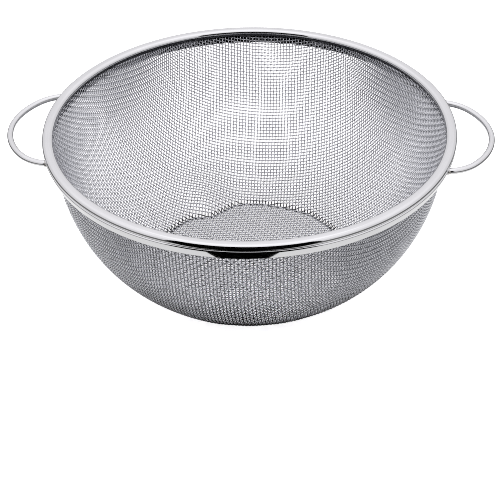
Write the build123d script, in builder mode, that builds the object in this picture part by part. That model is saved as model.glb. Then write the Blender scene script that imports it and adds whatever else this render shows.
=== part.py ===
"""Kitchen strainer basket: a deep-drawn woven-wire basket in a folded rim, with two wire loop handles.

The frame: +Z up, the origin on the basket's axis in the plane that its foot stands on, and +X through
the right handle. All sizes are in millimetres, and angles in degrees.
"""

import os
from math import atan2, cos, pi, radians, sin, sqrt, tan

from build123d import *

# Driving dimensions
RIM_RADIUS = 108.0  # outside of the rim: half of 216 mm
HEIGHT = 91.0  # from the foot's plane to the top of the rim
FOOT_RADIUS = 54.6  # middle of the pressed foot ring
CLOTH = 1.2  # the woven cloth is two wires thick
BAND_SHEET = 0.5  # the sheet that the rim is folded from
CORE_WIRE = 2.6  # the stiffening wire inside the rim
HANDLE_WIRE = 3.2
HANDLE_HALF_SPAN = 33.5  # from the basket's X axis to the middle of a handle's leg
HANDLE_REACH = 126.3  # from the basket's axis to the middle of the wire at a handle's tip

# Basket: the middle of the cloth, from the axis outwards
WALL_RADIUS = 91.5  # the wall bulges on one large arc
WALL_START = 30.4  # the wall's angle above level where it leaves the foot
WALL_END = 79.9  # the angle of the conical wall above the arc
FOOT_BEND = 0.9  # bend radius at each corner of the foot
FOOT_FLAT = 0.6  # width of the ring that stands on the table
HEEL_SLOPE = 60.0  # the bottom drops at this angle into the foot
HEEL_LENGTH = 1.0
TOE_SLOPE = 65.0  # the foot climbs at this angle to the wall
TOE_LENGTH = 0.8
CLOTH_TOP = HEIGHT - 3.25  # the cloth ends inside the rim, just under the core wire

# Rim: heights of the folded band's corners, measured down from its top
BEAD_WIDTH = 5.7
BEAD_SIDE = 2.5  # the bead turns in to the groove
GROOVE = 3.2
SHOULDER = 3.7  # top of the skirt, under the groove
SKIRT_BOTTOM = 8.6
INNER_BOTTOM = 3.7  # the underside of the bead, inside the basket
GROOVE_DEPTH = 0.7
SKIRT_TAPER = 1.7  # how far the skirt draws in from the bead to its bottom
BEAD_BEND = 2.0
GROOVE_BEND = 0.7
CREASE_BEND = 0.2
LIP_BEND = 0.8
INNER_BEND = 1.2

# Handles and welds
HANDLE_DROP = 5.7  # from the top of the rim to the middle of the wire
LEG_END = 100.4  # where a leg runs straight in to the rim
LEG_STRAIGHT = 1.5  # straight length there, before it is trimmed to the rim's outside
SIDE_BEND = 21.0  # bend radius beside each leg
WELD_RADIUS = 2.0  # each weld is a round bead about the end of its leg

BEAD_INNER = RIM_RADIUS - BEAD_WIDTH
HANDLE_Z = HEIGHT - HANDLE_DROP


def bend_step(radius, start, end):
    """How far out and how far up a bend of that radius goes, between two angles above level."""
    out = radius * (sin(radians(end)) - sin(radians(start)))
    up = radius * (cos(radians(start)) - cos(radians(end)))
    return abs(out), up


def cloth_line(lift):
    """A smooth line from the axis over the foot to the rim, that far above the middle of the cloth."""
    heel_out, heel_up = bend_step(FOOT_BEND, 0, HEEL_SLOPE)
    slope_out = HEEL_LENGTH * cos(radians(HEEL_SLOPE))
    slope_up = HEEL_LENGTH * sin(radians(HEEL_SLOPE))
    bottom_radius = FOOT_RADIUS - FOOT_FLAT / 2 - 2 * heel_out - slope_out
    bottom_z = CLOTH / 2 + 2 * heel_up + slope_up + lift
    inner_bend = FOOT_BEND - lift
    outer_bend = FOOT_BEND + lift
    with BuildLine() as line:
        bottom = Line((0, bottom_z), (bottom_radius, bottom_z))
        edge = JernArc(bottom @ 1, bottom % 1, outer_bend, -HEEL_SLOPE)
        heel = PolarLine(edge @ 1, HEEL_LENGTH, direction=edge % 1)
        heel_bend = JernArc(heel @ 1, heel % 1, inner_bend, HEEL_SLOPE)
        foot = PolarLine(heel_bend @ 1, FOOT_FLAT, direction=heel_bend % 1)
        toe_bend = JernArc(foot @ 1, foot % 1, inner_bend, TOE_SLOPE)
        toe = PolarLine(toe_bend @ 1, TOE_LENGTH, direction=toe_bend % 1)
        ease = JernArc(toe @ 1, toe % 1, outer_bend, WALL_START - TOE_SLOPE)
        wall = JernArc(ease @ 1, ease % 1, WALL_RADIUS - lift, WALL_END - WALL_START)
        rise = CLOTH_TOP - (wall @ 1).Y
        PolarLine(wall @ 1, rise / sin(radians(WALL_END)), direction=wall % 1)
    return line.line


def wall_radius(line, height):
    """How far a line of the cloth is from the axis at that height, on the conical wall."""
    return (line @ 1).X - (CLOTH_TOP - height) / tan(radians(WALL_END))


def make_basket(inside, outside):
    """The drawn cloth as one thin closed shell of revolution, open at the top."""
    with BuildPart() as basket:
        with BuildSketch(Plane.XZ):
            with BuildLine():
                add([inside, outside])
                Line(inside @ 0, outside @ 0)
                Line(inside @ 1, outside @ 1)
            make_face()
        revolve(axis=Axis.Z)
    basket.part.label = "mesh_basket"
    return basket.part


def rim_outline(inside, outside):
    """The outside of the folded band in section: up the skirt, over the bead and under it to the cloth."""
    skirt_z = HEIGHT - SKIRT_BOTTOM
    inner_z = HEIGHT - INNER_BOTTOM
    corners = [
        (wall_radius(outside, skirt_z), skirt_z, 0),
        (RIM_RADIUS - SKIRT_TAPER, skirt_z, LIP_BEND),
        (RIM_RADIUS, HEIGHT - SHOULDER, GROOVE_BEND),
        (RIM_RADIUS - GROOVE_DEPTH, HEIGHT - GROOVE, CREASE_BEND),
        (RIM_RADIUS, HEIGHT - BEAD_SIDE, GROOVE_BEND),
        (RIM_RADIUS, HEIGHT, BEAD_BEND),
        (BEAD_INNER, HEIGHT, BEAD_BEND),
        (BEAD_INNER, inner_z, INNER_BEND),
        (wall_radius(inside, inner_z), inner_z, 0),
    ]
    points = [(r, z) for r, z, bend in corners]
    bends = [bend for r, z, bend in corners[1:-1]]
    with BuildLine() as outline:
        FilletPolyline(*points, radius=bends)
    return outline.line


def make_rim_band(outline, basket):
    """The folded band: a rolled bead, closed on the cloth inside, over a skirt that closes on it outside."""
    with BuildPart() as band:
        with BuildSketch(Plane.XZ):
            with BuildLine():
                add(outline)
                offset(amount=BAND_SHEET, side=Side.RIGHT)
            make_face()
        revolve(axis=Axis.Z)
        add(basket, mode=Mode.SUBTRACT)
    band.part.label = "rim_band"
    return band.part


def make_core_wire():
    """The stiffening ring wire that the bead is rolled around."""
    with BuildPart() as core:
        with BuildSketch(Plane.XZ):
            with Locations(((RIM_RADIUS + BEAD_INNER) / 2, HEIGHT - BAND_SHEET - CORE_WIRE / 2)):
                Circle(CORE_WIRE / 2)
        revolve(axis=Axis.Z)
    core.part.label = "rim_core_wire"
    return core.part


def make_rim_envelope(outline):
    """The rim with its hollow filled in, which trims the handles and welds to the band's outside."""
    with BuildPart() as envelope:
        with BuildSketch(Plane.XZ):
            with BuildLine():
                add(outline)
                Line(outline @ 1, outline @ 0)
            make_face()
        revolve(axis=Axis.Z)
    return envelope.part


def handle_path(side):
    """A handle's centreline, level and symmetric: two legs, two side bends and one wide bend at the tip."""
    depth = HANDLE_REACH - LEG_END
    inset = HANDLE_HALF_SPAN - SIDE_BEND
    # the radius about the X axis that reaches the tip and is tangent to both side bends
    tip_bend = (inset**2 + depth**2 - SIDE_BEND**2) / (2 * (depth - SIDE_BEND))
    turn = atan2(tip_bend - depth, inset) * 180 / pi
    start = (side * (LEG_END - LEG_STRAIGHT), -side * HANDLE_HALF_SPAN, HANDLE_Z)
    with BuildLine() as path:
        leg = PolarLine(start, LEG_STRAIGHT, direction=(side, 0, 0))
        first = JernArc(leg @ 1, leg % 1, SIDE_BEND, turn)
        tip = JernArc(first @ 1, first % 1, tip_bend, 180 - 2 * turn)
        second = JernArc(tip @ 1, tip % 1, SIDE_BEND, turn)
        PolarLine(second @ 1, LEG_STRAIGHT, direction=second % 1)
    return path.wires()[0]


def make_handle(name, side, envelope):
    """One wire loop, butted against the outside of the rim's skirt at both ends."""
    path = handle_path(side)
    with BuildPart() as handle:
        with BuildSketch(Plane(origin=path @ 0, z_dir=path % 0)):
            Circle(HANDLE_WIRE / 2)
        sweep(path=path)
        add(envelope, mode=Mode.SUBTRACT)
    handle.part.label = name
    return handle.part


def make_weld(name, side, end, handle, envelope):
    """The bead of weld that joins one leg of a handle to the rim."""
    skirt_radius = RIM_RADIUS - SKIRT_TAPER * (HANDLE_DROP - SHOULDER) / (SKIRT_BOTTOM - SHOULDER)
    skirt_x = sqrt(skirt_radius**2 - HANDLE_HALF_SPAN**2)
    with BuildPart() as weld:
        with Locations((side * skirt_x, end * HANDLE_HALF_SPAN, HANDLE_Z)):
            Sphere(WELD_RADIUS)
        add(envelope, mode=Mode.SUBTRACT)
        add(handle, mode=Mode.SUBTRACT)
    weld.part.label = name
    return weld.part


def make_handles(envelope):
    """Both handles, each with the welds of its front leg (-Y) and its back leg (+Y)."""
    pieces = []
    for side_name, side in [("left", -1), ("right", 1)]:
        handle = make_handle(f"{side_name}_handle", side, envelope)
        pieces.append(handle)
        for end_name, end in [("front", -1), ("back", 1)]:
            pieces.append(make_weld(f"{side_name}_handle_{end_name}_weld", side, end, handle, envelope))
    return pieces


def main():
    os.makedirs("parts", exist_ok=True)
    inside = cloth_line(CLOTH / 2)
    outside = cloth_line(-CLOTH / 2)
    outline = rim_outline(inside, outside)
    basket = make_basket(inside, outside)
    pieces = [basket, make_rim_band(outline, basket), make_core_wire()]
    pieces += make_handles(make_rim_envelope(outline))
    for piece in pieces:
        export_step(piece, f"parts/{piece.label}.step")


main()
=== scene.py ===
"""The strainer basket's looks: woven wire cloth, polished folded rim, wire handles and their welds.

Lengths are in metres in the frame's axes and angles in radians. The sizes that the CAD boxes give are read
from them, and the rest are named here.
"""

import math

import bmesh
import bpy
import numpy as np
from mathutils import Matrix, Vector, noise


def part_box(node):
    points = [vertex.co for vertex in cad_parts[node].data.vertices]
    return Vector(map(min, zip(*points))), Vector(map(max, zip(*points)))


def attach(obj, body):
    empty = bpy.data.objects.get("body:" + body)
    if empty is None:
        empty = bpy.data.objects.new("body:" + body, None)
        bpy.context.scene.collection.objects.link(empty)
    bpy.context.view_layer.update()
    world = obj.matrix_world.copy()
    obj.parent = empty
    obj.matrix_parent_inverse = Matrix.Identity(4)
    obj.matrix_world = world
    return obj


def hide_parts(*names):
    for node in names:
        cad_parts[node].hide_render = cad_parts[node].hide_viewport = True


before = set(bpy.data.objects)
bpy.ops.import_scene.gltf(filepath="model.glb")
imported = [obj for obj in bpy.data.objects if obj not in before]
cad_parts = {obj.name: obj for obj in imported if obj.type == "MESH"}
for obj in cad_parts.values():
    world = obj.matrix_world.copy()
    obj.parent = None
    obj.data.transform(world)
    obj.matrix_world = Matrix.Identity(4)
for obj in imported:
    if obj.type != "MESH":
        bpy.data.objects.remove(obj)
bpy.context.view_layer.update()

MM = 0.001
DEG = math.pi / 180

# ---------------------------------------------------------------- sizes
RIM_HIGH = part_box("rim_band")[1]
HANDLE_LOW, HANDLE_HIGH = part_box("right_handle")
HEIGHT = RIM_HIGH[2]
RIM_RADIUS = min(RIM_HIGH[0], RIM_HIGH[1])

# the woven cloth
WIRE = 0.6 * MM  # a wire's diameter
PITCH = 25.4 * MM / 14  # 14 wires to the inch
CLOTH_TURN = -2.0 * DEG  # the weave isn't quite square to the handles
WIRE_SIDES = 6
STEPS = 3  # lengths of wire from one crossing to the next
PIECE_FACES = 95_000  # a piece of the cloth has at most about this many faces
CLOTH_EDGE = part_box("mesh_basket")[1][2]  # the wires are cut off inside the rim at this height

# the middle of the cloth in section, from the axis outwards
FOOT_RADIUS = 54.6 * MM
FOOT_FLAT = 0.6 * MM
FOOT_BEND = 0.9 * MM
HEEL_SLOPE = 60.0 * DEG
HEEL_LENGTH = 1.0 * MM
TOE_SLOPE = 65.0 * DEG
TOE_LENGTH = 0.8 * MM
WALL_RADIUS = 91.5 * MM
WALL_START = 30.4 * DEG
WALL_END = 79.9 * DEG
CONE_LENGTH = 30 * MM  # more than enough of the straight wall above the arc
STEP = 0.02 * MM  # sampling of the section
NORMAL_STEP = 0.05 * MM  # the cloth's normals are worked out over this distance
SLOPE_STEP = 0.01 * MM  # and the surface's slopes, for finding the crossings, over this one
NEWTON_ROUNDS = 12

# the foot's ring isn't a true circle: one dent, and a slight waver all round
DENT_DEPTH = 7.0 * MM
DENT_MIDDLE = 120.0 * DEG
DENT_HALF_WIDTH = 13.0 * DEG
WAVER = 0.35 * MM
WAVES = ((5, 1, 1.0), (11, 0, 0.7), (23, 2, 0.5))  # the waver's waves per turn, phases and shares
FOLD_REACH = 26 * MM  # how far up the wall the fold's shift dies out

# the folded rim, as depths below its top
BEAD_WIDTH = 5.7 * MM
BEAD_SIDE = 2.5 * MM
GROOVE = 3.2 * MM
SHOULDER = 3.7 * MM
SKIRT_BOTTOM = 8.6 * MM
INNER_BOTTOM = 3.7 * MM
GROOVE_DEPTH = 0.7 * MM
SKIRT_TAPER = 1.7 * MM
BEAD_BEND = 2.0 * MM
GROOVE_BEND = 0.7 * MM
CREASE_BEND = 0.2 * MM
LIP_BEND = 0.8 * MM
INNER_BEND = 1.2 * MM
BAND_SHEET = 0.5 * MM
RIM_SEGMENTS = 360
ARC_STEP = 9.0 * DEG  # the most that a bend of the rim's section turns from point to point

# the handles
HANDLE_WIRE = 3.2 * MM
HANDLE_HALF_SPAN = 33.5 * MM
HANDLE_Z = (HANDLE_LOW[2] + HANDLE_HIGH[2]) / 2
HANDLE_REACH = HANDLE_HIGH[0] - HANDLE_WIRE / 2
LEG_END = 100.4 * MM
SIDE_BEND = 21.0 * MM
HANDLE_SIDES = 32
SIDE_POINTS = 20  # points of the middle line in a side bend
TIP_POINTS = 48  # and in the wide bend at the tip
WELD_RADIUS = 1.95 * MM
WELD_LUMPS = 0.12  # how much of the radius its lumps take
BIG_LUMPS = 1.7  # lumps to the radius
SMALL_LUMPS = 4
LUMP_SHIFT = 1000  # how far apart in the noise the welds are, to the metre

# ---------------------------------------------------------------- colours and shades
WIRE_DARK = (0.585, 0.59, 0.615)
WIRE_LIGHT = (0.70, 0.705, 0.74)
RIM_DARK = (0.61, 0.61, 0.62)
RIM_LIGHT = (0.67, 0.67, 0.68)
WELD_DARK = (0.42, 0.40, 0.37)
WELD_LIGHT = (0.60, 0.59, 0.58)
CORE_DARK = (0.46, 0.46, 0.47)
CORE_LIGHT = (0.60, 0.60, 0.61)
NOISE_LOW, NOISE_HIGH = 0.3, 0.7  # the range that a noise value mostly keeps to
WIRE_ROUGHNESS = 0.16
FLOOR_COLOUR = (0.85, 0.85, 0.86)
ROOM_TINT = (0.985, 0.975, 1.0)
# painted shade: what is left of the steel's colour in the foot's crease and inside the rim
PAINTED_SHADE_TONE = (0.12, 0.12, 0.132, 1)
CREASE_INNER = 0.3 * MM  # the crease's painted shade is a little lighter within this distance of its middle
CREASE_OUTER = 1.7 * MM
CREASE_MIDDLE = 0.5  # how dark the painted shade's middle is, against 1 beside it
BEAD_INNER_PART = 0.6  # the inner side of the bead starts at this share of its width from outside
FOLD_SHADE_DEPTH = 1.9 * MM  # the rim's inner side has painted shade from here down
CLOTH_SHADE_DEPTH = 5.0 * MM  # and painted shade on the cloth in front of the skirt from here up
SHADE_SOFTNESS = 0.4 * MM

# ---------------------------------------------------------------- camera, light and stage
LENS = 97.17  # the focal length and the sensor are in millimetres
SENSOR = 36
CAMERA_DISTANCE = 709.2 * MM  # from the middle of the rim's top
CAMERA_LIFT = 31.63 * DEG  # the camera's elevation, as seen from there
CAMERA_PITCH = 37.01 * DEG  # how far below level it looks
CAMERA_ROLL = -0.875 * DEG
CAMERA_YAW = 3.6 * DEG  # how far to the right of the front it stands
CAMERA_ASIDE = -0.64 * MM
# the floor
FLOOR_HALF = 3.0
FLOOR_Z = -1.0 * MM
FLOOR_ROUGHNESS = 0.9
FLOOR_SPECULAR = 0.1
FLOOR_GLOW = 0.6
SHADE_GLOW = 0.55  # the floor's glow under the basket, lower as a painted shadow
SHADE_FROM = 45 * MM  # it rises to FLOOR_GLOW between these radii
SHADE_TO = 130 * MM
# the room
ROOM_LIGHT = 1.0
TOP_LIGHT = 1.3
ROOM_LOW, ROOM_HIGH = 0.3, 0.8  # sines of the elevations between which it rises to TOP_LIGHT
LAMP_PLACE = (0, 0.1, 1.3)
LAMP_TARGET = (0, 0, 0)
LAMP_SIZE = 1.0
LAMP_POWER = 0.6  # in watts
# the front card, a painted dark reflection, stands upright between the basket and the camera, which doesn't
# see it
CARD_HALF = 0.30
CARD_AWAY = 0.43
CARD_HEIGHT = 0.50
# the table card, a painted reflection, lies under the basket, as radii from inside outwards
CARD_Z = -0.5 * MM
SHADE_RADIUS = 105 * MM  # black inside this, a painted reflection of the basket's shade
RING_EDGE = 8 * MM
RING_GLOW = 1.0
RING_OUTSIDE = 200 * MM
FAR_EDGE = 60 * MM
TABLE_GLOW = 0.2
PATH_HALF = 20 * MM  # half the black path's width where it starts, at PATH_START
PATH_START = 115 * MM


# ---------------------------------------------------------------- mesh making
def new_piece(name, verts, faces, material):
    """A smooth mesh object from vertex and quad arrays, riding on the frame."""
    mesh = bpy.data.meshes.new(name)
    verts = np.asarray(verts, np.float32)
    faces = np.asarray(faces, np.int32)
    mesh.vertices.add(len(verts))
    mesh.vertices.foreach_set("co", verts.ravel())
    mesh.loops.add(faces.size)
    mesh.loops.foreach_set("vertex_index", faces.ravel())
    mesh.polygons.add(len(faces))
    mesh.polygons.foreach_set("loop_start", np.arange(0, faces.size, 4, dtype=np.int32))
    mesh.polygons.foreach_set("use_smooth", np.ones(len(faces), bool))
    mesh.update(calc_edges=True)
    mesh.validate()
    mesh.materials.append(material)
    piece = bpy.data.objects.new(name, mesh)
    bpy.context.scene.collection.objects.link(piece)
    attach(piece, "root")
    return piece


def tube(centre, normal, radius, sides):
    """Vertices and quads of a closed tube about a line of centres, with its seams kept to the normal."""
    centre = np.asarray(centre)
    along = np.gradient(centre, axis=0)
    along /= np.linalg.norm(along, axis=1, keepdims=True)
    side = np.cross(along, normal)
    side /= np.linalg.norm(side, axis=1, keepdims=True)
    up = np.cross(side, along)
    turn = (np.arange(sides) + 0.5) * 2 * math.pi / sides
    ring = np.cos(turn)[None, :, None] * side[:, None, :] + np.sin(turn)[None, :, None] * up[:, None, :]
    verts = (centre[:, None, :] + ring * radius).reshape(-1, 3)
    rows = np.arange(len(centre) - 1)[:, None] * sides
    k = np.arange(sides)[None, :]
    after = (k + 1) % sides
    quads = np.stack([rows + k, rows + after, rows + sides + after, rows + sides + k], -1).reshape(-1, 4)
    last = (len(centre) - 1) * sides
    # the caps are quads too, so the number of sides is even
    start_cap = np.array([[0, m + 2, m + 1, m] for m in range(1, sides - 2, 2)])
    end_cap = last + start_cap[:, ::-1]
    return verts, np.concatenate([quads, start_cap, end_cap])


def joined(parts):
    """Several (vertices, quads) as one."""
    counts = np.cumsum([0] + [len(v) for v, f in parts])
    verts = np.concatenate([v for v, f in parts])
    faces = np.concatenate([f + n for (v, f), n in zip(parts, counts)])
    return verts, faces


# ---------------------------------------------------------------- the cloth's surface
def follow(steps, start):
    """The (r, z) points of a line made of steps, each a length, its first and its last angle above level."""
    r, z = [np.array([start[0]])], [np.array([start[1]])]
    for length, first, last in steps:
        n = max(2, round(length / STEP))
        angle = first + (last - first) * (np.arange(n) + 0.5) / n
        r.append(r[-1][-1] + np.cumsum(np.cos(angle)) * length / n)
        z.append(z[-1][-1] + np.cumsum(np.sin(angle)) * length / n)
    return np.concatenate(r), np.concatenate(z)


def section():
    """The middle of the cloth as (r, z) points: the bottom, the foot and the wall, one array each."""
    out = 2 * FOOT_BEND * math.sin(HEEL_SLOPE) + HEEL_LENGTH * math.cos(HEEL_SLOPE)
    down = 2 * FOOT_BEND * (1 - math.cos(HEEL_SLOPE)) + HEEL_LENGTH * math.sin(HEEL_SLOPE)
    bottom = follow([(FOOT_RADIUS - FOOT_FLAT / 2 - out, 0, 0)], (0, WIRE + down))
    foot = follow([
        (FOOT_BEND * HEEL_SLOPE, 0, -HEEL_SLOPE),
        (HEEL_LENGTH, -HEEL_SLOPE, -HEEL_SLOPE),
        (FOOT_BEND * HEEL_SLOPE, -HEEL_SLOPE, 0),
        (FOOT_FLAT, 0, 0),
        (FOOT_BEND * TOE_SLOPE, 0, TOE_SLOPE),
        (TOE_LENGTH, TOE_SLOPE, TOE_SLOPE),
        (FOOT_BEND * (TOE_SLOPE - WALL_START), TOE_SLOPE, WALL_START),
    ], (bottom[0][-1], bottom[1][-1]))
    wall = follow([
        (WALL_RADIUS * (WALL_END - WALL_START), WALL_START, WALL_END),
        (CONE_LENGTH, WALL_END, WALL_END),
    ], (foot[0][-1], foot[1][-1]))
    return bottom, foot, wall


BOTTOM, FOOT, WALL = section()
SECTION_R = np.concatenate([BOTTOM[0], FOOT[0][1:], WALL[0][1:]])
SECTION_Z = np.concatenate([BOTTOM[1], FOOT[1][1:], WALL[1][1:]])
# the cloth as it was before the foot was pressed: a straight line bridges the foot
PLAIN_R = np.concatenate([BOTTOM[0], WALL[0]])
PLAIN_Z = np.concatenate([BOTTOM[1], WALL[1]])
PLAIN_S = np.concatenate([[0], np.cumsum(np.hypot(np.diff(PLAIN_R), np.diff(PLAIN_Z)))])
EDGE_S = float(np.interp(CLOTH_EDGE, WALL[1], PLAIN_S[len(BOTTOM[0]):]))


def plain_surface(q):
    """Points of the cloth before its foot is pressed. q is in the plane, at its length from the middle."""
    s = np.maximum(np.linalg.norm(q, axis=-1), 1e-9)
    out = q / s[..., None] * np.interp(s, PLAIN_S, PLAIN_R)[..., None]
    return np.concatenate([out, np.interp(s, PLAIN_S, PLAIN_Z)[..., None]], -1)


def fold_shift(azimuth):
    """How far the foot's fold lies inside its true circle."""
    off = (azimuth - DENT_MIDDLE + math.pi) % (2 * math.pi) - math.pi
    dent = np.where(abs(off) < 2 * DENT_HALF_WIDTH, np.cos(off / DENT_HALF_WIDTH * math.pi / 4) ** 4, 0)
    waver = sum(share * np.sin(count * azimuth + phase) for count, phase, share in WAVES)
    return DENT_DEPTH * dent + WAVER * waver


def surface(q):
    """Points of the finished cloth, with its foot and the fold's unevenness."""
    p = plain_surface(q)
    r = np.hypot(p[..., 0], p[..., 1])
    azimuth = np.arctan2(p[..., 1], p[..., 0])
    fade = np.clip((FOOT_RADIUS + FOLD_REACH - r) / FOLD_REACH, 0, 1)
    fade = fade * fade * (3 - 2 * fade)  # eased at both ends
    p[..., 2] = np.interp(r + fold_shift(azimuth) * fade, SECTION_R, SECTION_Z)
    return p


def normals(q):
    """The cloth's normals, towards its inside."""
    here = surface(q)
    x = surface(q + [NORMAL_STEP, 0]) - here
    y = surface(q + [0, NORMAL_STEP]) - here
    n = np.cross(x, y)
    return n / np.linalg.norm(n, axis=-1, keepdims=True)


# ---------------------------------------------------------------- the weave
def next_crossing(a, b, guess):
    """The points of the plain surface that are one pitch from both a and b, by Newton's method."""
    pa, pb = plain_surface(a), plain_surface(b)
    q = guess.copy()
    for _ in range(NEWTON_ROUNDS):
        p = plain_surface(q)
        px = (plain_surface(q + [SLOPE_STEP, 0]) - p) / SLOPE_STEP
        py = (plain_surface(q + [0, SLOPE_STEP]) - p) / SLOPE_STEP
        fa = ((p - pa) ** 2).sum(-1) - PITCH**2
        fb = ((p - pb) ** 2).sum(-1) - PITCH**2
        ax, ay = 2 * ((p - pa) * px).sum(-1), 2 * ((p - pa) * py).sum(-1)
        bx, by = 2 * ((p - pb) * px).sum(-1), 2 * ((p - pb) * py).sum(-1)
        det = ax * by - ay * bx
        q = q - np.stack([(fa * by - fb * ay) / det, (fb * ax - fa * bx) / det], -1)
    return q


def drape():
    """Where the wires cross, in the plane. The cloth is drawn without stretching its wires, so they shear."""
    n = int(EDGE_S / PITCH) + 4  # a few pitches past the edge, where the wires are cut
    q = np.full((n, n, 2), np.nan)
    along = np.arange(n) * PITCH
    q[:, 0] = np.stack([along, 0 * along], -1)
    q[0, :] = np.stack([0 * along, along], -1)
    for k in range(2, 2 * n - 1):
        i = np.arange(max(1, k - n + 1), min(k, n))
        j = k - i
        known = np.isfinite(q[i - 1, j, 0]) & np.isfinite(q[i, j - 1, 0])
        i, j = i[known], j[known]
        if not len(i):
            break
        found = next_crossing(q[i - 1, j], q[i, j - 1], q[i - 1, j] + q[i, j - 1] - q[i - 1, j - 1])
        found[np.linalg.norm(found, axis=-1) > EDGE_S + 2 * PITCH] = np.nan
        q[i, j] = found
    m = n - 1
    full = np.full((2 * m + 1, 2 * m + 1, 2), np.nan)
    for sx in (1, -1):
        for sy in (1, -1):
            full[m::sx, m::sy][:n, :n] = q * [sx, sy]
    return full, m


def turned(q, angle):
    """Points of the plane, turned about the cloth's middle."""
    c, s = math.cos(angle), math.sin(angle)
    return q @ np.array([[c, s], [-s, c]])


def wire_line(nodes, first_sign):
    """One wire's middle line and the cloth's normals along it, cut at the cloth's edge, or None."""
    index = np.flatnonzero(np.isfinite(nodes[:, 0]))
    if len(index) < 3:
        return None
    nodes = nodes[index]
    signs = first_sign * (-1.0) ** index
    t = (np.arange(STEPS * (len(nodes) - 1)) + 0.5) / STEPS
    base = t.astype(int)
    share = (t - base)[:, None]
    q = nodes[base] * (1 - share) + nodes[base + 1] * share
    wave = signs[base] * np.tile(np.linspace(1, -1, STEPS), len(nodes) - 1)
    s = np.linalg.norm(q, axis=-1)
    inside = np.flatnonzero(s < EDGE_S)
    if len(inside) < 3:
        return None
    q, wave = q[inside[0]:inside[-1] + 1], wave[inside[0]:inside[-1] + 1]
    q = turned(q, CLOTH_TURN)
    n = normals(q)
    return surface(q) + n * (wave * WIRE / 2)[:, None], n


def weave(material):
    """All the wires of the cloth, in groups that are one piece each."""
    net, m = drape()
    for kind, grid, over in (("warp", net.transpose(1, 0, 2), 1), ("weft", net, -1)):
        lines = []
        for j in range(2 * m + 1):
            line = wire_line(grid[j], over * (-1.0) ** j)
            if line is not None:
                lines.append(tube(line[0], line[1], WIRE / 2, WIRE_SIDES))
        total = sum(len(f) for v, f in lines)
        groups = math.ceil(total / PIECE_FACES)
        bound = np.searchsorted(np.cumsum([len(f) for v, f in lines]), np.linspace(0, total, groups + 1))
        bound[-1] = len(lines)
        for g in range(groups):
            verts, faces = joined(lines[bound[g]:bound[g + 1]])
            piece = new_piece(f"{kind}_wires_{g + 1}", verts, faces, material)
            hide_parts("mesh_basket")


# ---------------------------------------------------------------- the rim
def rounded(corners):
    """A line through (r, z, bend radius) corners, with each bend as an arc."""
    out = [np.array(corners[0][:2])]
    for before, corner, after in zip(corners, corners[1:], corners[2:]):
        p = np.array(corner[:2])
        a, b = np.array(before[:2]) - p, np.array(after[:2]) - p
        a, b = a / np.linalg.norm(a), b / np.linalg.norm(b)
        half = math.acos(np.dot(a, b)) / 2
        bend = corner[2]
        middle = p + (a + b) / np.linalg.norm(a + b) * bend / math.sin(half)
        start, end = p + a * bend / math.tan(half), p + b * bend / math.tan(half)
        u, v = start - middle, end - middle
        turn = math.pi - 2 * half
        n = max(3, math.ceil(turn / ARC_STEP))
        for k in range(n + 1):
            f = k / n * turn
            out.append(middle + (u * math.sin(turn - f) + v * math.sin(f)) / math.sin(turn))
    out.append(np.array(corners[-1][:2]))
    return np.array(out)


def wall_radius(depth):
    """The radius of the cloth's middle at that depth below the top of the rim."""
    return float(np.interp(HEIGHT - depth, WALL[1], WALL[0]))


def rim_section():
    """The folded band's closed section: its outside from lip to lip, and back along its inside."""
    inner = RIM_RADIUS - BEAD_WIDTH
    half_cloth = WIRE / math.sin(WALL_END)
    outside = rounded([
        (wall_radius(SKIRT_BOTTOM) + half_cloth, HEIGHT - SKIRT_BOTTOM, 0),
        (RIM_RADIUS - SKIRT_TAPER, HEIGHT - SKIRT_BOTTOM, LIP_BEND),
        (RIM_RADIUS, HEIGHT - SHOULDER, GROOVE_BEND),
        (RIM_RADIUS - GROOVE_DEPTH, HEIGHT - GROOVE, CREASE_BEND),
        (RIM_RADIUS, HEIGHT - BEAD_SIDE, GROOVE_BEND),
        (RIM_RADIUS, HEIGHT, BEAD_BEND),
        (inner, HEIGHT, BEAD_BEND),
        (inner, HEIGHT - INNER_BOTTOM, INNER_BEND),
        (wall_radius(INNER_BOTTOM) - half_cloth, HEIGHT - INNER_BOTTOM, 0),
    ])
    along = np.gradient(outside, axis=0)
    along /= np.linalg.norm(along, axis=1, keepdims=True)
    inside = outside + np.stack([-along[:, 1], along[:, 0]], -1) * BAND_SHEET
    return np.concatenate([outside, inside[::-1]])


def make_rim(material):
    """The folded band: its section turned about the Z axis."""
    line = rim_section()
    count = len(line)
    turn = np.arange(RIM_SEGMENTS) * 2 * math.pi / RIM_SEGMENTS
    verts = np.stack([
        np.outer(np.cos(turn), line[:, 0]),
        np.outer(np.sin(turn), line[:, 0]),
        np.broadcast_to(line[:, 1], (RIM_SEGMENTS, count)),
    ], -1).reshape(-1, 3)
    row = np.arange(RIM_SEGMENTS)[:, None] * count
    after = (np.arange(RIM_SEGMENTS)[:, None] + 1) % RIM_SEGMENTS * count
    k = np.arange(count)[None, :]
    nxt = (k + 1) % count
    faces = np.stack([row + k, after + k, after + nxt, row + nxt], -1).reshape(-1, 4)
    piece = new_piece("folded_rim", verts, faces, material)
    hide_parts("rim_band")


# ---------------------------------------------------------------- handles
def handle_line():
    """The right handle's middle line from its front leg round to its back leg."""
    depth = HANDLE_REACH - LEG_END
    inset = HANDLE_HALF_SPAN - SIDE_BEND
    tip_bend = (inset**2 + depth**2 - SIDE_BEND**2) / (2 * (depth - SIDE_BEND))
    turn = math.atan2(tip_bend - depth, inset)
    a = np.linspace(0, turn, SIDE_POINTS)
    side = np.stack([LEG_END + SIDE_BEND * np.sin(a), -inset - SIDE_BEND * np.cos(a)], -1)
    b = np.linspace(turn, math.pi - turn, TIP_POINTS)[1:-1]
    tip = np.stack([HANDLE_REACH - tip_bend + tip_bend * np.sin(b), -tip_bend * np.cos(b)], -1)
    half = np.concatenate([side, tip, side[::-1] * [1, -1]])
    return np.column_stack([half, np.full(len(half), HANDLE_Z)])


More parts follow.
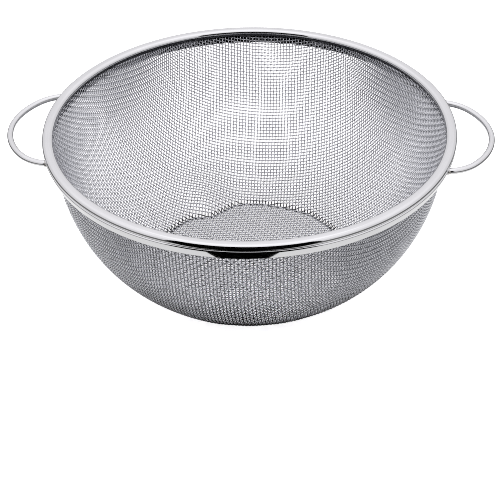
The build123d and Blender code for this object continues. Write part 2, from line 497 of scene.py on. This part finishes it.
def make_handle(name, side, material):
    """One wire loop, on the left (side -1) or the right (side 1)."""
    line = handle_line() * [side, side, 1]
    up = np.tile([0.0, 0.0, 1.0], (len(line), 1))
    verts, faces = tube(line, up, HANDLE_WIRE / 2, HANDLE_SIDES)
    piece = new_piece(f"{name}_handle_wire", verts, faces, material)
    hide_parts(f"{name}_handle")


def make_weld(name, side, end, material):
    """The lumpy bead of weld about the end of one leg, on the rim's skirt."""
    skirt = RIM_RADIUS - SKIRT_TAPER * (HEIGHT - HANDLE_Z - SHOULDER) / (SKIRT_BOTTOM - SHOULDER)
    middle = Vector((side * math.sqrt(skirt**2 - HANDLE_HALF_SPAN**2), end * HANDLE_HALF_SPAN, HANDLE_Z))
    mesh = bpy.data.meshes.new(name)
    lump = bmesh.new()
    bmesh.ops.create_icosphere(lump, subdivisions=5, radius=1)
    shift = middle * LUMP_SHIFT
    for vert in lump.verts:
        lumps = noise.noise(vert.co * BIG_LUMPS + shift) + 0.5 * noise.noise(vert.co * SMALL_LUMPS - shift)
        vert.co = middle + vert.co * WELD_RADIUS * (1 - WELD_LUMPS + WELD_LUMPS * max(-1, min(1, lumps)))
    lump.to_mesh(mesh)
    lump.free()
    mesh.shade_smooth()
    mesh.materials.append(material)
    piece = bpy.data.objects.new(name, mesh)
    bpy.context.scene.collection.objects.link(piece)
    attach(piece, "root")
    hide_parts(name.removesuffix("_bead"))


# ---------------------------------------------------------------- materials
class Nodes:
    """A material's or world's node tree, with short ways to add the nodes used here."""

    def __init__(self, owner):
        owner.use_nodes = True
        self.tree = owner.node_tree

    def add(self, kind, **inputs):
        """A new node with those inputs, where an underscore stands for a space."""
        node = self.tree.nodes.new(kind)
        for name, value in inputs.items():
            self.put(value, node.inputs[name.replace("_", " ")])
        return node

    def put(self, value, socket):
        """Links another node's output to a socket, or sets the socket to a plain value."""
        if isinstance(value, bpy.types.NodeSocket):
            self.tree.links.new(value, socket)
        else:
            socket.default_value = value

    def math(self, operation, *values):
        node = self.tree.nodes.new("ShaderNodeMath")
        node.operation = operation
        for value, socket in zip(values, node.inputs):
            self.put(value, socket)
        return node.outputs[0]

    def ramp(self, value, low, high, to_low=0.0, to_high=1.0):
        """A smooth step of the value from low to high."""
        node = self.add("ShaderNodeMapRange", Value=value, From_Min=low, From_Max=high,
                        To_Min=to_low, To_Max=to_high)
        node.interpolation_type = "SMOOTHSTEP"
        return node.outputs["Result"]

    def where(self):
        """The place of a point of the piece."""
        return self.add("ShaderNodeTexCoord").outputs["Object"]

    def place(self):
        """The x, y and z of that place, and its distance from the Z axis."""
        x, y, z = self.add("ShaderNodeSeparateXYZ", Vector=self.where()).outputs
        away = self.math("SQRT", self.math("ADD", self.math("MULTIPLY", x, x), self.math("MULTIPLY", y, y)))
        return x, y, z, away

    def drawn_round(self, length):
        """A place in which a noise is drawn out round the Z axis, with that much of it to the radian."""
        x, y, z, away = self.place()
        turn = self.math("MULTIPLY", self.math("ARCTAN2", y, x), length)
        return self.add("ShaderNodeCombineXYZ", X=away, Y=turn, Z=z).outputs[0]

    def wave(self, angle, count, phase, size):
        """A sine of that size, with so many waves to the turn."""
        return self.math("MULTIPLY", self.math("SINE", self.math("MULTIPLY_ADD", angle, count, phase)), size)

    def painted_shade(self, colour, share):
        """Painted shade: the colour brought down by the shade's tone where that value is 1."""
        node = self.tree.nodes.new("ShaderNodeMix")
        node.data_type = "RGBA"
        node.blend_type = "MULTIPLY"
        # a mix node has sockets of every type: these are its factor, its two colours and its colour result
        self.put(share, node.inputs[0])
        self.put(colour, node.inputs[6])
        self.put(PAINTED_SHADE_TONE, node.inputs[7])
        return node.outputs[2]

    def noise(self, where, scale, detail=2.0):
        """A noise value from 0 to 1, with that many cells to the metre."""
        return self.add("ShaderNodeTexNoise", Vector=where, Scale=scale, Detail=detail).outputs["Fac"]

    def blend(self, a, b, share=0.5):
        """A share of the first value and the rest of the second."""
        return self.math("MULTIPLY_ADD", a, share, self.math("MULTIPLY", b, 1 - share))

    def spread(self, value, low, high):
        """A noise value, spread from low to high."""
        return self.ramp(value, NOISE_LOW, NOISE_HIGH, low, high)

    def tint(self, value, dark, light):
        """A colour between two, by a noise value."""
        node = self.tree.nodes.new("ShaderNodeValToRGB")
        node.color_ramp.elements[0].position = NOISE_LOW
        node.color_ramp.elements[1].position = NOISE_HIGH
        node.color_ramp.elements[0].color = (*dark, 1)
        node.color_ramp.elements[1].color = (*light, 1)
        self.put(value, node.inputs["Fac"])
        return node.outputs["Color"]

    def bump(self, height, strength, distance, **below):
        """The normal of a bumpy surface, over another normal where one is given."""
        node = self.add("ShaderNodeBump", Height=height, Strength=strength, Distance=distance, **below)
        return node.outputs["Normal"]


def metal(name):
    """A new metal material, its nodes and its shader."""
    mat = bpy.data.materials.new(name)
    nodes = Nodes(mat)
    shader = nodes.tree.nodes["Principled BSDF"]
    shader.inputs["Metallic"].default_value = 1
    return mat, nodes, shader


def foot_crease_shade(nodes, x, y, away):
    """1 along the two lines of painted shade at the foot's fold, which follow fold_shift, and 0 elsewhere."""
    azimuth = nodes.math("ARCTAN2", y, x)
    off = nodes.math("WRAP", nodes.math("SUBTRACT", azimuth, DENT_MIDDLE), math.pi, -math.pi)
    near = nodes.math("MINIMUM", nodes.math("ABSOLUTE", off), 2 * DENT_HALF_WIDTH)
    hump = nodes.math("COSINE", nodes.math("MULTIPLY", near, math.pi / 4 / DENT_HALF_WIDTH))
    dent = nodes.math("MULTIPLY", nodes.math("POWER", nodes.math("MAXIMUM", hump, 0), 4), DENT_DEPTH)
    shift = dent
    for count, phase, share in WAVES:
        shift = nodes.math("ADD", shift, nodes.wave(azimuth, count, phase, share * WAVER))
    fold = nodes.math("ABSOLUTE", nodes.math("SUBTRACT", nodes.math("ADD", away, shift), FOOT_RADIUS))
    middle = nodes.ramp(fold, 0, CREASE_INNER, CREASE_MIDDLE, 1)
    return nodes.math("MULTIPLY", middle, nodes.ramp(fold, CREASE_OUTER - CREASE_INNER, CREASE_OUTER, 1, 0))


def wire_steel():
    """Bright drawn wire: its tone drifts over a few millimetres and is flecked within one, with painted shade
    below the rim and along the foot's fold.
    """
    mat, nodes, shader = metal("drawn_wire")
    shader.inputs["Roughness"].default_value = WIRE_ROUGHNESS
    x, y, z, away = nodes.place()
    drift = nodes.noise(nodes.where(), scale=260)
    flecks = nodes.noise(nodes.where(), scale=2600, detail=3.0)
    steel = nodes.tint(nodes.blend(flecks, drift, share=0.45), WIRE_DARK, WIRE_LIGHT)
    # painted shade: the cloth just below the rim, and the two lines along the foot's fold
    top = nodes.ramp(z, HEIGHT - CLOTH_SHADE_DEPTH, HEIGHT - CLOTH_SHADE_DEPTH + SHADE_SOFTNESS)
    shade = nodes.math("MAXIMUM", top, foot_crease_shade(nodes, x, y, away))
    nodes.put(nodes.painted_shade(steel, shade), shader.inputs["Base Color"])
    return mat


def rim_steel():
    """Polished sheet: fine polishing lines round the rim, a faint unevenness from the rolling, and painted
    shade on its inner side.
    """
    mat, nodes, shader = metal("polished_rim")
    lines = nodes.noise(nodes.drawn_round(2 * MM), scale=5200, detail=4.0)
    drift = nodes.noise(nodes.where(), scale=45, detail=3.0)
    tone = nodes.blend(lines, drift)
    # painted shade below the bead's top, on the bead's inner side and on the skirt's
    z, away = nodes.place()[2:]
    low = nodes.ramp(z, HEIGHT - FOLD_SHADE_DEPTH - SHADE_SOFTNESS, HEIGHT - FOLD_SHADE_DEPTH, 1, 0)
    bead = nodes.math("LESS_THAN", away, RIM_RADIUS - BEAD_WIDTH * BEAD_INNER_PART)
    taper = SKIRT_TAPER / (SKIRT_BOTTOM - SHOULDER)
    sheet = nodes.math("MULTIPLY_ADD", z, taper, RIM_RADIUS - BAND_SHEET / 2 - taper * (HEIGHT - SHOULDER))
    behind = nodes.math("LESS_THAN", away, sheet)
    under = nodes.math("LESS_THAN", z, HEIGHT - SHOULDER)
    inner = nodes.math("MAXIMUM", bead, nodes.math("MULTIPLY", behind, under))
    steel = nodes.tint(tone, RIM_DARK, RIM_LIGHT)
    nodes.put(nodes.painted_shade(steel, nodes.math("MULTIPLY", low, inner)), shader.inputs["Base Color"])
    nodes.put(nodes.spread(tone, low=0.035, high=0.085), shader.inputs["Roughness"])
    rolled = nodes.bump(nodes.noise(nodes.where(), scale=90), strength=0.25, distance=0.05 * MM)
    polished = nodes.bump(lines, strength=0.25, distance=0.003 * MM, Normal=rolled)
    nodes.put(polished, shader.inputs["Normal"])
    return mat


def handle_steel():
    """Polished thick wire with fine scratches and a slight drift of tone."""
    mat, nodes, shader = metal("polished_handle")
    drift = nodes.noise(nodes.where(), scale=120, detail=3.0)
    drawn_out = nodes.add("ShaderNodeMapping", Vector=nodes.where(), Scale=(1, 0.08, 1)).outputs[0]
    scratches = nodes.noise(drawn_out, scale=3800, detail=3.0)
    tone = nodes.blend(scratches, drift)
    nodes.put(nodes.tint(tone, RIM_DARK, RIM_LIGHT), shader.inputs["Base Color"])
    nodes.put(nodes.spread(tone, low=0.06, high=0.13), shader.inputs["Roughness"])
    nodes.put(nodes.bump(scratches, strength=0.2, distance=0.004 * MM), shader.inputs["Normal"])
    return mat


def weld_steel():
    """Dressed weld metal: duller and rougher than the wire, with a faint straw heat tint."""
    mat, nodes, shader = metal("weld_metal")
    patches = nodes.noise(nodes.where(), scale=900, detail=4.0)
    grain = nodes.noise(nodes.where(), scale=6000, detail=3.0)
    nodes.put(nodes.tint(patches, WELD_DARK, WELD_LIGHT), shader.inputs["Base Color"])
    nodes.put(nodes.spread(patches, low=0.22, high=0.42), shader.inputs["Roughness"])
    nodes.put(nodes.bump(grain, strength=0.5, distance=0.04 * MM), shader.inputs["Normal"])
    return mat


def core_steel():
    """Plain drawn wire inside the rim, with lines along it."""
    mat, nodes, shader = metal("core_wire_steel")
    lines = nodes.noise(nodes.drawn_round(4 * MM), scale=3000, detail=3.0)
    nodes.put(nodes.tint(lines, CORE_DARK, CORE_LIGHT), shader.inputs["Base Color"])
    nodes.put(nodes.spread(lines, low=0.24, high=0.38), shader.inputs["Roughness"])
    nodes.put(nodes.bump(lines, strength=0.4, distance=0.01 * MM), shader.inputs["Normal"])
    return mat


# ---------------------------------------------------------------- the studio
def make_camera():
    """A long lens in front of the basket and above it, which stands a little to the right."""
    data = bpy.data.cameras.new("camera")
    data.sensor_width = SENSOR
    data.lens = LENS
    camera = bpy.data.objects.new("camera", data)
    bpy.context.scene.collection.objects.link(camera)
    right = Vector((1, 0, 0))
    forward = Vector((0, math.cos(CAMERA_PITCH), -math.sin(CAMERA_PITCH)))
    up = right.cross(forward)
    c, s = math.cos(CAMERA_ROLL), math.sin(CAMERA_ROLL)
    turn = Matrix.Rotation(CAMERA_YAW, 3, "Z")
    axes = Matrix((turn @ (right * c + up * s), turn @ (up * c - right * s), turn @ -forward)).transposed()
    lift = Vector((0, -math.cos(CAMERA_LIFT), math.sin(CAMERA_LIFT))) * CAMERA_DISTANCE
    place = turn @ (lift + Vector((CAMERA_ASIDE, 0, 0))) + Vector((0, 0, HEIGHT))
    camera.matrix_world = Matrix.Translation(place) @ axes.to_4x4()
    bpy.context.scene.camera = camera


def stage_sheet(name, corners, material):
    """A flat stage object, such as the floor or a card."""
    mesh = bpy.data.meshes.new(name)
    mesh.from_pydata(corners, [], [tuple(range(len(corners)))])
    mesh.materials.append(material)
    sheet = bpy.data.objects.new(name, mesh)
    bpy.context.scene.collection.objects.link(sheet)
    return sheet


def level_square(half, z):
    """The corners of a level square about the Z axis."""
    return [(-half, -half, z), (half, -half, z), (half, half, z), (-half, half, z)]


def make_floor():
    """A pale floor that glows, a little less where the basket keeps the light off it: a painted shadow."""
    mat = bpy.data.materials.new("floor")
    nodes = Nodes(mat)
    shader = nodes.tree.nodes["Principled BSDF"]
    shader.inputs["Base Color"].default_value = (*FLOOR_COLOUR, 1)
    shader.inputs["Roughness"].default_value = FLOOR_ROUGHNESS
    shader.inputs["Specular IOR Level"].default_value = FLOOR_SPECULAR
    shader.inputs["Emission Color"].default_value = (1, 1, 1, 1)
    away = nodes.place()[-1]
    glow = nodes.ramp(away, SHADE_FROM, SHADE_TO, SHADE_GLOW, FLOOR_GLOW)
    nodes.put(glow, shader.inputs["Emission Strength"])
    stage_sheet("floor", level_square(FLOOR_HALF, FLOOR_Z), mat)


def make_world():
    """An evenly lit white room, a little brighter overhead."""
    world = bpy.data.worlds.new("studio")
    nodes = Nodes(world)
    where = nodes.tree.nodes.new("ShaderNodeTexCoord").outputs["Generated"]
    height = nodes.add("ShaderNodeSeparateXYZ", Vector=where).outputs[2]
    back = nodes.tree.nodes["Background"]
    nodes.put(nodes.ramp(height, ROOM_LOW, ROOM_HIGH, ROOM_LIGHT, TOP_LIGHT), back.inputs["Strength"])
    back.inputs["Color"].default_value = (*ROOM_TINT, 1)
    bpy.context.scene.world = world


def make_card(name, corners):
    """A card that only reflections see, black until its glow is set. Returns its nodes and its glow."""
    mat = bpy.data.materials.new(name)
    nodes = Nodes(mat)
    glow = nodes.add("ShaderNodeEmission", Strength=0.0)
    nodes.put(glow.outputs[0], nodes.tree.nodes["Material Output"].inputs["Surface"])
    card = stage_sheet(name, corners, mat)
    card.visible_camera = False
    card.visible_diffuse = False
    card.visible_shadow = False
    card.visible_transmission = False
    return nodes, glow


def make_cards():
    """Painted reflections that the polished basket sees: the dark of the room behind the camera, and of its
    own shade on the table.

    The table card has a pale ring round the shade (a painted highlight), a dim table beyond it and a black
    path to the front card.
    """
    make_card("front_card", [
        (-CARD_HALF, -CARD_AWAY, 0),
        (CARD_HALF, -CARD_AWAY, 0),
        (CARD_HALF, -CARD_AWAY, CARD_HEIGHT),
        (-CARD_HALF, -CARD_AWAY, CARD_HEIGHT),
    ])
    nodes, glow = make_card("table_card", level_square(FLOOR_HALF, CARD_Z))
    x, y, _, away = nodes.place()
    ring = nodes.ramp(away, SHADE_RADIUS, SHADE_RADIUS + RING_EDGE, 0, RING_GLOW)
    far = nodes.ramp(away, RING_OUTSIDE, RING_OUTSIDE + FAR_EDGE)
    light = nodes.math("ADD", nodes.math("MULTIPLY", ring, nodes.math("SUBTRACT", 1, far)),
                       nodes.math("MULTIPLY", far, TABLE_GLOW))
    spread = (CARD_HALF - PATH_HALF) / (CARD_AWAY - PATH_START)
    path_half = nodes.math("MULTIPLY_ADD", y, -spread, PATH_HALF - PATH_START * spread)
    beside = nodes.math("GREATER_THAN", nodes.math("ABSOLUTE", x), path_half)
    nodes.put(nodes.math("MULTIPLY", light, beside), glow.inputs["Strength"])


def make_lamp():
    """One large soft light overhead."""
    data = bpy.data.lights.new("overhead", "AREA")
    data.size = LAMP_SIZE
    data.energy = LAMP_POWER
    light = bpy.data.objects.new("overhead", data)
    light.location = LAMP_PLACE
    light.rotation_mode = "QUATERNION"
    light.rotation_quaternion = (Vector(LAMP_TARGET) - Vector(LAMP_PLACE)).to_track_quat("-Z", "Y")
    bpy.context.scene.collection.objects.link(light)


def main():
    make_camera()
    weave(wire_steel())
    make_rim(rim_steel())
    handle, weld = handle_steel(), weld_steel()
    for side_name, side in (("left", -1), ("right", 1)):
        make_handle(side_name, side, handle)
        for end_name, end in (("front", -1), ("back", 1)):
            make_weld(f"{side_name}_handle_{end_name}_weld_bead", side, end, weld)
    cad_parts["rim_core_wire"].material_slots[0].material = core_steel()
    make_floor()
    make_world()
    make_cards()
    make_lamp()
    bpy.context.scene.view_settings.view_transform = "Standard"
    # keeps the denoiser from smearing wires that are only a pixel wide
    bpy.context.scene.cycles.denoising_prefilter = "NONE"
    bpy.context.scene.cycles.filter_width = 1.0


main()
